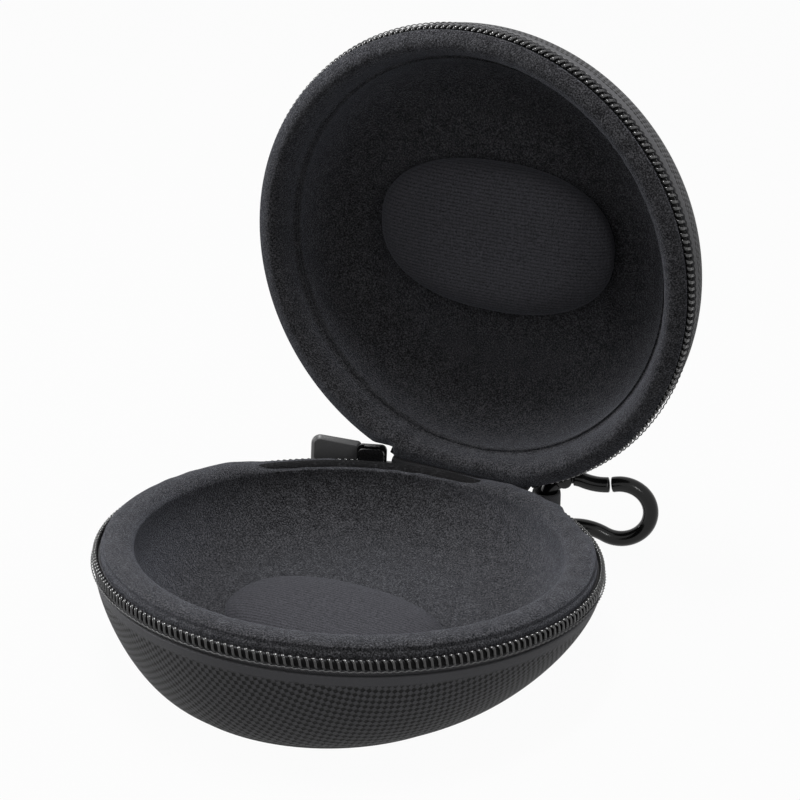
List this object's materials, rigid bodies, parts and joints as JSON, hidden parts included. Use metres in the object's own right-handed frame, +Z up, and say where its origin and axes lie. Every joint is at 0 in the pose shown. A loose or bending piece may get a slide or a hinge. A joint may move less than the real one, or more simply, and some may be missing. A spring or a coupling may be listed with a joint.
{
  "type": "watch travel case",
  "caption": "Round hard-shell zip travel case for a wrist watch, standing open on a cloth hinge, with oval cushions and a snap hook.",
  "frame": {"origin": "centre of the base's foot, on the face that it rests on", "axes": "+Z up; the hinge is at +Y and runs along X; the case's front is at -Y"},
  "size_m": [0.1216, 0.1444, 0.1382],
  "materials": {
    "rubber_foot": "satin",
    "woven_cover": "matte",
    "moulded_foam": "matte",
    "velvet_lining": "matte",
    "ribbed_pad": "matte",
    "zipper_tape": "matte",
    "zipper_coil": "satin",
    "slider_metal": "satin",
    "pull_rubber": "matte",
    "webbing": "matte",
    "hook_plastic": "gloss",
    "pin_steel": "satin"
  },
  "bodies": {
    "base": {"base_foot": "rubber_foot", "base_cover": "woven_cover", "base_core": "moulded_foam", "base_lining": "velvet_lining", "base_pad": "velvet_lining", "lower_tape": "zipper_tape", "lower_teeth": "zipper_coil", "lower_stops": "slider_metal", "hinge_strip_base": "zipper_tape", "hang_loop": "webbing"},
    "lid": {"lid_cover": "woven_cover", "lid_core": "moulded_foam", "lid_lining": "velvet_lining", "lid_pad": "ribbed_pad", "upper_tape": "zipper_tape", "upper_teeth": "zipper_coil", "upper_stops": "slider_metal", "hinge_strip_lid": "zipper_tape"},
    "slider": {"slider_body": "slider_metal", "slider_bridge": "slider_metal"},
    "pull": {"pull_link": "slider_metal", "pull_tab": "pull_rubber"},
    "hook": {"hook_body": "hook_plastic", "gate_pin": "pin_steel", "gate_spring": "pin_steel"},
    "gate": {"hook_gate": "hook_plastic"}
  },
  "joints": [
    {"name": "lid_hinge", "type": "hinge", "parent": "base", "child": "lid", "pos_m": [0, 0.06586, 0.01923], "axis": [1, 0, 0], "range_deg": [0, 83.9]},
    {"name": "slider_travel", "type": "hinge", "parent": "base", "child": "slider", "pos_m": [0, 0.008, 0.0245], "axis": [0, 0.0906, 0.9959], "range_deg": [0, 290]},
    {"name": "pull_pivot", "type": "hinge", "parent": "slider", "child": "pull", "pos_m": [-0.02698, 0.06563, 0.01926], "axis": [0, -0.0906, -0.9959], "range_deg": [0, 60]},
    {"name": "hook_swing", "type": "hinge", "parent": "base", "child": "hook", "pos_m": [0.0196, 0.07635, 0.01206], "axis": [0, 0, 1], "range_deg": [-26, 45]},
    {"name": "gate_pivot", "type": "hinge", "parent": "hook", "child": "gate", "pos_m": [0.02393, 0.07791, 0.01864], "axis": [-0.3404, 0.9403, 0], "range_deg": [0, 25], "stiffness_Nm_per_rad": 0.004, "springref_deg": -20.05}
  ]
}
